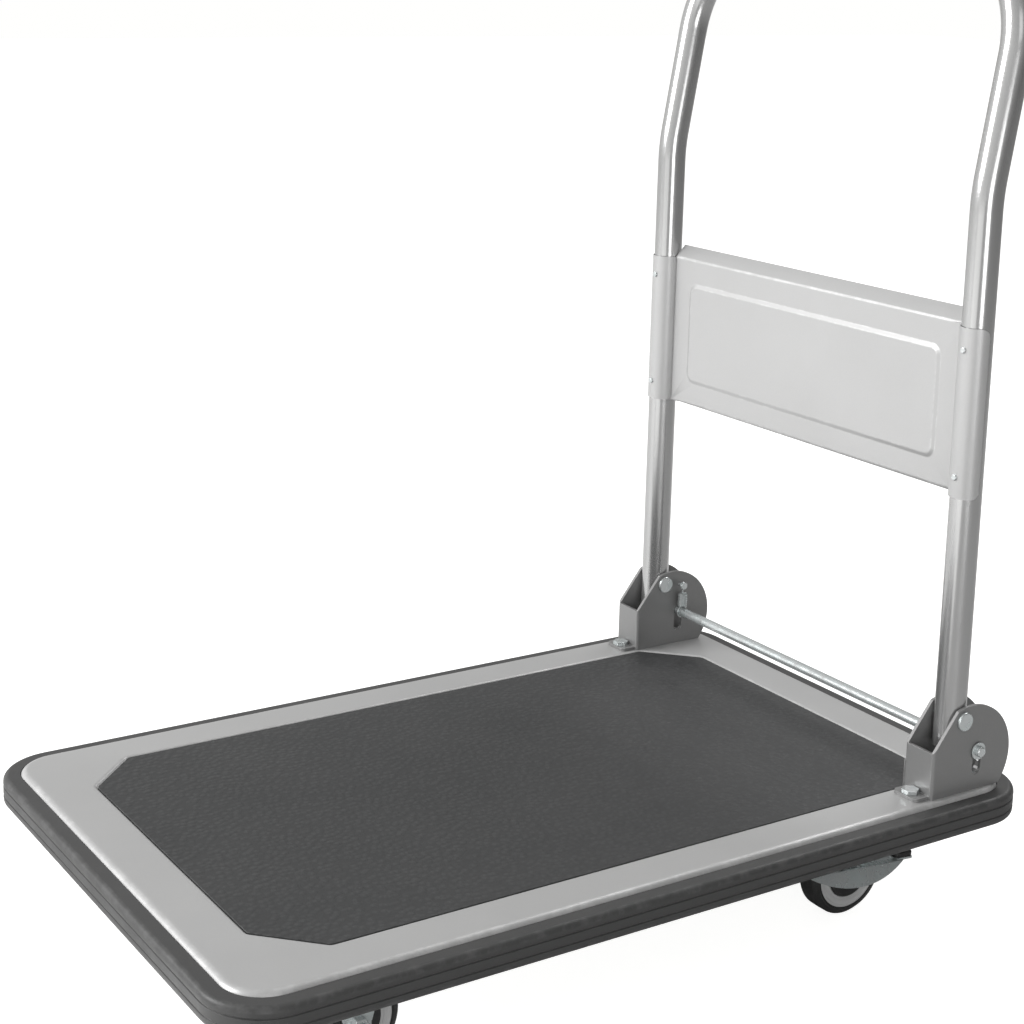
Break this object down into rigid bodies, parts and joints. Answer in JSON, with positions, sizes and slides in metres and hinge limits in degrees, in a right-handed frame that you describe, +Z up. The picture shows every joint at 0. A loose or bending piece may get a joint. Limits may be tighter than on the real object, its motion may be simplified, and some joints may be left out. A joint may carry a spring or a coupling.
{
  "type": "folding platform cart",
  "caption": "Low folding platform cart with a pressed steel deck, rubber edge bumper, ribbed mat, fold-down push handle and braked swivel casters.",
  "frame": {"origin": "on the floor under the middle of the deck", "axes": "+Z up; X across the cart; Y along the cart with the handle at +Y and the open end at -Y"},
  "size_m": [0.48, 0.74, 0.825],
  "materials": {
    "silver_paint": "satin metallic silver paint",
    "deck_mat": "fine ribbed dark mat",
    "bumper_rubber": "matt black rubber",
    "bracket_steel": "grey metallic paint on pressed steel",
    "under_steel": "grey paint on pressed steel",
    "tyre_rubber": "black moulded rubber",
    "hub_plastic": "light grey moulded nylon",
    "guard_plastic": "black moulded plastic",
    "pad_rubber": "black rubber",
    "zinc_sheet": "bright zinc plating on pressed steel",
    "zinc_steel": "bright zinc plating"
  },
  "bodies": {
    "frame": {"axle_bolts_front": "zinc_steel", "axle_nuts_front": "zinc_steel", "bracket_bolts": "zinc_steel", "bracket_nuts": "zinc_steel", "caster_bolts": "zinc_steel", "caster_nuts": "zinc_steel", "deck_mat": "deck_mat", "deck_panel": "silver_paint", "deck_rail_left": "under_steel", "deck_rail_right": "under_steel", "edge_bumper": "bumper_rubber", "fixed_fork_left": "zinc_sheet", "fixed_fork_right": "zinc_sheet", "front_caster_channel": "under_steel", "hinge_bracket_left": "bracket_steel", "hinge_bracket_right": "bracket_steel", "king_pins": "zinc_steel", "pivot_pins": "zinc_steel", "rear_caster_channel": "under_steel", "release_spring_left": "zinc_steel", "release_spring_right": "zinc_steel", "spring_posts": "zinc_steel", "swivel_plate_left": "zinc_sheet", "swivel_plate_right": "zinc_sheet"},
    "handle": {"handle_tube": "silver_paint", "handle_panel": "silver_paint", "panel_rivets": "zinc_steel"},
    "release": {"release_bar": "zinc_steel", "bar_clips": "zinc_steel"},
    "front_wheel_right": {"tyre_front_right": "tyre_rubber", "wheel_hub_front_right": "hub_plastic", "wheel_guards_front_right": "guard_plastic", "wheel_bush_front_right": "zinc_steel"},
    "rear_wheel_right": {"tyre_rear_right": "tyre_rubber", "wheel_hub_rear_right": "hub_plastic", "wheel_guards_rear_right": "guard_plastic", "wheel_bush_rear_right": "zinc_steel"},
    "swivel_right": {"swivel_fork_right": "zinc_sheet", "swivel_balls_right": "zinc_steel", "axle_bolts_rear_right": "zinc_steel", "axle_nuts_rear_right": "zinc_steel", "brake_rivets_right": "zinc_steel"},
    "brake_right": {"brake_pedal_right": "zinc_sheet", "brake_pad_right": "pad_rubber"},
    "front_wheel_left": {"tyre_front_left": "tyre_rubber", "wheel_hub_front_left": "hub_plastic", "wheel_guards_front_left": "guard_plastic", "wheel_bush_front_left": "zinc_steel"},
    "rear_wheel_left": {"tyre_rear_left": "tyre_rubber", "wheel_hub_rear_left": "hub_plastic", "wheel_guards_rear_left": "guard_plastic", "wheel_bush_rear_left": "zinc_steel"},
    "swivel_left": {"swivel_fork_left": "zinc_sheet", "swivel_balls_left": "zinc_steel", "axle_bolts_rear_left": "zinc_steel", "axle_nuts_rear_left": "zinc_steel", "brake_rivets_left": "zinc_steel"},
    "brake_left": {"brake_pedal_left": "zinc_sheet", "brake_pad_left": "pad_rubber"}
  },
  "joints": [
    {"name": "handle_fold", "type": "hinge", "parent": "frame", "child": "handle", "pos_m": [0, 0.297, 0.181], "axis": [1, 0, 0], "range_deg": [0, 90]},
    {"name": "release_press", "type": "slide", "parent": "frame", "child": "release", "axis": [0, 0, -1], "range_m": [0, 0.016], "stiffness_N_per_m": 700, "springref_m": -0.012, "deforming": ["release_spring_right", "release_spring_left"]},
    {"name": "front_wheel_right_spin", "type": "hinge", "parent": "frame", "child": "front_wheel_right", "pos_m": [0.15, -0.236, 0.0375], "axis": [1, 0, 0], "continuous": true},
    {"name": "swivel_right_turn", "type": "hinge", "parent": "frame", "child": "swivel_right", "pos_m": [0.15, 0.258, 0.08], "axis": [0, 0, 1], "continuous": true},
    {"name": "rear_wheel_right_spin", "type": "hinge", "parent": "swivel_right", "child": "rear_wheel_right", "pos_m": [0.15, 0.235, 0.0375], "axis": [1, 0, 0], "continuous": true},
    {"name": "brake_right_press", "type": "hinge", "parent": "swivel_right", "child": "brake_right", "pos_m": [0.15, 0.249, 0.0555], "axis": [-1, 0, 0], "range_deg": [0, 8]},
    {"name": "front_wheel_left_spin", "type": "hinge", "parent": "frame", "child": "front_wheel_left", "pos_m": [-0.15, -0.236, 0.0375], "axis": [1, 0, 0], "continuous": true},
    {"name": "swivel_left_turn", "type": "hinge", "parent": "frame", "child": "swivel_left", "pos_m": [-0.15, 0.258, 0.08], "axis": [0, 0, 1], "continuous": true},
    {"name": "rear_wheel_left_spin", "type": "hinge", "parent": "swivel_left", "child": "rear_wheel_left", "pos_m": [-0.15, 0.235, 0.0375], "axis": [1, 0, 0], "continuous": true},
    {"name": "brake_left_press", "type": "hinge", "parent": "swivel_left", "child": "brake_left", "pos_m": [-0.15, 0.249, 0.0555], "axis": [-1, 0, 0], "range_deg": [0, 8]}
  ]
}
